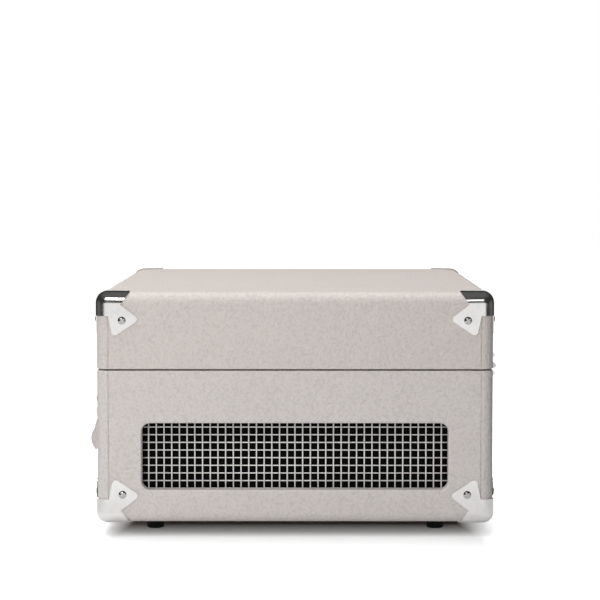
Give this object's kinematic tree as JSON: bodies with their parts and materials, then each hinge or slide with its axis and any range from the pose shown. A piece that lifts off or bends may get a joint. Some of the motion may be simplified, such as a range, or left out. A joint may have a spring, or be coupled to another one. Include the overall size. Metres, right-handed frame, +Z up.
{
  "type": "portable record player",
  "caption": "Suitcase record player with a hinged lid, carry handle, metal corner guards, side mesh grilles, platter, tonearm and rear sockets.",
  "frame": {"origin": "on the floor between the feet, under the middle of the whole outline", "axes": "+X towards the right-hand end, which the picture shows; -Y to the front with the carry handle; +Z up along the spindle"},
  "size_m": [0.3444, 0.2833, 0.1611],
  "materials": {
    "covering": "pale grained imitation leather",
    "lining": "plain cloth",
    "board": "raw fibre board",
    "nickel": "polished nickel plate",
    "screw_steel": "plated steel",
    "foot_rubber": "black rubber",
    "mesh_wire": "grey painted wire",
    "cloth": "black speaker cloth",
    "speaker_steel": "black painted steel",
    "paper": "black paper",
    "magnet": "dark ferrite",
    "handle_cover": "pale imitation leather",
    "deck": "pale satin paint",
    "platter_plastic": "black satin",
    "mat_felt": "felt",
    "bright_steel": "turned steel",
    "bronze": "sintered bronze",
    "belt_rubber": "black rubber",
    "arm_plastic": "black moulded plastic",
    "arm_tube": "satin aluminium",
    "cartridge": "red plastic",
    "control": "black plastic",
    "lamp": "red lens",
    "panel": "black plastic",
    "socket": "black plastic and plated metal",
    "circuit": "green board"
  },
  "bodies": {
    "case": {"base_case": "covering", "bottom_panel": "board", "wood_battens": "board", "board_screws": "screw_steel", "feet": "foot_rubber", "base_corners": "nickel", "base_fitting_screws": "screw_steel", "base_hinge_leaves": "nickel", "hinge_pins": "screw_steel", "grille_right": "mesh_wire", "grille_left": "mesh_wire", "speaker_cloths": "cloth", "speaker_boards": "board", "speaker_frames": "speaker_steel", "speaker_magnets": "magnet", "handle_brackets": "nickel", "latch_plate": "nickel", "deck_plate": "deck", "platter_bearing": "bronze", "drive_belt": "belt_rubber", "motor": "bright_steel", "arm_base": "arm_plastic", "arm_rest": "arm_plastic", "arm_stop": "arm_plastic", "volume_pot": "bright_steel", "slide_switches": "socket", "power_lamp": "lamp", "connector_panel": "panel", "rca_sockets": "socket", "mini_jacks": "socket", "dc_socket": "socket", "circuit_board": "circuit"},
    "lid": {"lid_case": "covering", "lid_lining": "lining", "lid_corners": "nickel", "lid_hinge_leaves": "nickel", "lid_fitting_screws": "screw_steel", "latch_catch": "nickel", "catch_stud": "nickel"},
    "handle": {"carry_handle": "handle_cover"},
    "hasp": {"latch_hasp": "nickel"},
    "turntable": {"platter": "platter_plastic", "slip_mat": "mat_felt", "spindle": "bright_steel"},
    "pulley": {"motor_pulley": "bronze"},
    "turret": {"arm_turret": "arm_plastic"},
    "arm": {"tonearm": "arm_tube", "arm_block": "arm_plastic", "tail_weight": "bright_steel", "headshell": "arm_plastic", "cartridge": "cartridge", "stylus": "cartridge"},
    "lifter": {"arm_lifter": "arm_plastic"},
    "cue": {"cue_lever": "arm_plastic"},
    "volume": {"volume_knob": "control"},
    "speed": {"speed_slider": "control"},
    "auto_stop": {"auto_stop_slider": "control"},
    "adapter": {"record_adapter": "control"},
    "cone_right": {"speaker_cone_right": "paper"},
    "cone_left": {"speaker_cone_left": "paper"}
  },
  "joints": [
    {"name": "lid_hinge", "type": "hinge", "parent": "case", "child": "lid", "pos_m": [0, 0.13505, 0.10945], "axis": [-1, 0, 0], "range_deg": [0, 95]},
    {"name": "handle_swing", "type": "hinge", "parent": "case", "child": "handle", "pos_m": [0, -0.13245, 0.071], "axis": [-1, 0, 0], "range_deg": [0, 90]},
    {"name": "hasp_swing", "type": "hinge", "parent": "case", "child": "hasp", "pos_m": [0, -0.13205, 0.098], "axis": [-1, 0, 0], "range_deg": [0, 180]},
    {"name": "platter_spin", "type": "hinge", "parent": "case", "child": "turntable", "pos_m": [-0.00401, -0.02185, 0.11], "axis": [0, 0, 1], "continuous": true},
    {"name": "pulley_spin", "type": "hinge", "parent": "case", "child": "pulley", "pos_m": [-0.05775, 0.03189, 0.108], "axis": [0, 0, 1], "continuous": true},
    {"name": "arm_swing", "type": "hinge", "parent": "case", "child": "turret", "pos_m": [0.122, 0.08015, 0.111], "axis": [0, 0, -1], "range_deg": [0, 40]},
    {"name": "arm_lift", "type": "hinge", "parent": "turret", "child": "arm", "pos_m": [0.122, 0.08015, 0.126], "axis": [-0.9945, -0.1045, 0], "range_deg": [0, 7]},
    {"name": "cue_lever_turn", "type": "hinge", "parent": "case", "child": "cue", "pos_m": [0.149, 0.09015, 0.112], "axis": [-1, 0, 0], "range_deg": [0, 60]},
    {"name": "lifter_rise", "type": "slide", "parent": "case", "child": "lifter", "axis": [0, 0, 1], "range_m": [0, 0.0036]},
    {"name": "volume_turn", "type": "hinge", "parent": "case", "child": "volume", "pos_m": [-0.146, -0.10185, 0.11], "axis": [0, 0, -1], "range_deg": [0, 270]},
    {"name": "speed_slide", "type": "slide", "parent": "case", "child": "speed", "axis": [0, 1, 0], "range_m": [0, 0.01]},
    {"name": "auto_stop_slide", "type": "slide", "parent": "case", "child": "auto_stop", "axis": [0, 1, 0], "range_m": [0, 0.006]},
    {"name": "adapter_lift", "type": "slide", "parent": "case", "child": "adapter", "axis": [0, 0, 1], "range_m": [0, 0.015]},
    {"name": "cone_right_stroke", "type": "slide", "parent": "case", "child": "cone_right", "axis": [1, 0, 0], "range_m": [-0.001, 0.001], "stiffness_N_per_m": 600},
    {"name": "cone_left_stroke", "type": "slide", "parent": "case", "child": "cone_left", "axis": [-1, 0, 0], "range_m": [-0.001, 0.001], "stiffness_N_per_m": 600}
  ],
  "couplings": [
    {"joint": "pulley_spin", "follows": "platter_spin", "ratio": 12.2},
    {"joint": "cue_lever_turn", "follows": "arm_lift", "ratio": 8.5714},
    {"joint": "lifter_rise", "follows": "arm_lift", "m_per_rad": 0.029}
  ]
}
